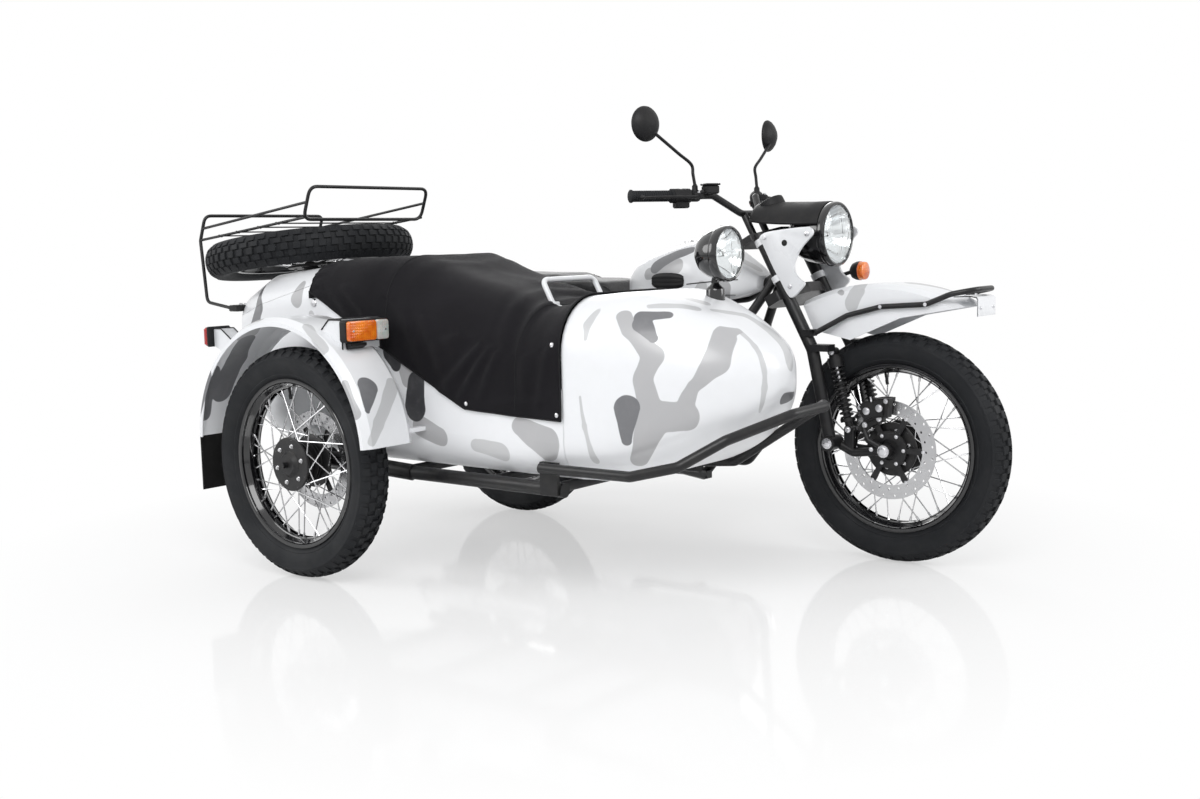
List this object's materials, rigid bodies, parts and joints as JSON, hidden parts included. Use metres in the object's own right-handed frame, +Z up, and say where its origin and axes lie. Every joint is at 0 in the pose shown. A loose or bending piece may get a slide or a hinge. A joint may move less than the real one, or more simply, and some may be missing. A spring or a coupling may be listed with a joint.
{
  "type": "sidecar motorcycle",
  "caption": "Flat-twin motorcycle with leading-link fork and wire wheels, joined to a boat-shaped sidecar with a cloth cover, a luggage rack and a spare wheel on its lid.",
  "frame": {"origin": "on the floor, under the middle of the outfit", "axes": "+X forward, +Y to the left of the rider, +Z up"},
  "size_m": [2.5189, 1.599, 1.3754],
  "materials": {
    "white_paint": "gloss",
    "black_paint": "gloss",
    "black_frame": "satin",
    "tread_rubber": "matt",
    "flap_rubber": "matt",
    "disc_steel": "satin",
    "engine_alloy": "cast",
    "pipe_steel": "polished",
    "seat_leather": "matt",
    "cloth": "matt",
    "lens_clear": "clear",
    "amber": "gloss",
    "red": "gloss",
    "black_plastic": "matt"
  },
  "bodies": {
    "outfit": {"car_front_lamp": "amber", "car_mudguard": "white_paint", "car_rear_lamp": "red", "car_seat": "seat_leather", "chassis": "black_frame", "cover": "cloth", "crash_bar": "black_frame", "cylinders": "engine_alloy", "engine": "engine_alloy", "exhaust": "pipe_steel", "frame": "black_frame", "grab_handle": "white_paint", "mudflap": "flap_rubber", "nose": "white_paint", "rear_drive": "black_frame", "rear_mudguard": "white_paint", "seat": "seat_leather", "side_boxes": "black_plastic", "spot_lamp": "black_paint", "spot_lens": "lens_clear", "tail_lamp": "red", "tank": "white_paint", "tub": "white_paint"},
    "steering": {"fork": "black_frame", "front_link": "black_frame", "front_mudguard": "white_paint", "mudguard_tube": "black_frame", "headlight": "black_paint", "headlight_lens": "lens_clear", "instruments": "black_plastic", "fork_ears": "white_paint", "handlebar": "black_frame", "bar_controls": "black_plastic", "mirrors": "black_plastic", "front_indicator": "amber"},
    "front_wheel_set": {"front_tyre": "tread_rubber", "front_wheel": "black_paint", "front_disc": "disc_steel"},
    "rear_wheel_set": {"rear_tyre": "tread_rubber", "rear_wheel": "black_paint"},
    "car_wheel_set": {"car_tyre": "tread_rubber", "car_wheel": "black_paint", "car_disc": "disc_steel"},
    "trunk_lid_set": {"trunk_lid": "white_paint", "spare_tyre": "tread_rubber", "spare_wheel": "black_paint", "rack": "black_frame"}
  },
  "joints": [
    {"name": "steer", "type": "hinge", "parent": "outfit", "child": "steering", "pos_m": [0.50546, 0.412, 0.9], "axis": [-0.4695, 0, 0.8829], "range_deg": [-35, 35]},
    {"name": "front_wheel_spin", "type": "hinge", "parent": "steering", "child": "front_wheel_set", "pos_m": [0.914, 0.412, 0.345], "axis": [0, 1, 0], "continuous": true},
    {"name": "rear_wheel_spin", "type": "hinge", "parent": "outfit", "child": "rear_wheel_set", "pos_m": [-0.594, 0.412, 0.345], "axis": [0, 1, 0], "continuous": true},
    {"name": "car_wheel_spin", "type": "hinge", "parent": "outfit", "child": "car_wheel_set", "pos_m": [-0.469, -0.708, 0.345], "axis": [0, 1, 0], "continuous": true},
    {"name": "trunk_lid_hinge", "type": "hinge", "parent": "outfit", "child": "trunk_lid_set", "pos_m": [-0.59, -0.263, 0.932], "axis": [0, 1, 0], "range_deg": [0, 50]}
  ]
}
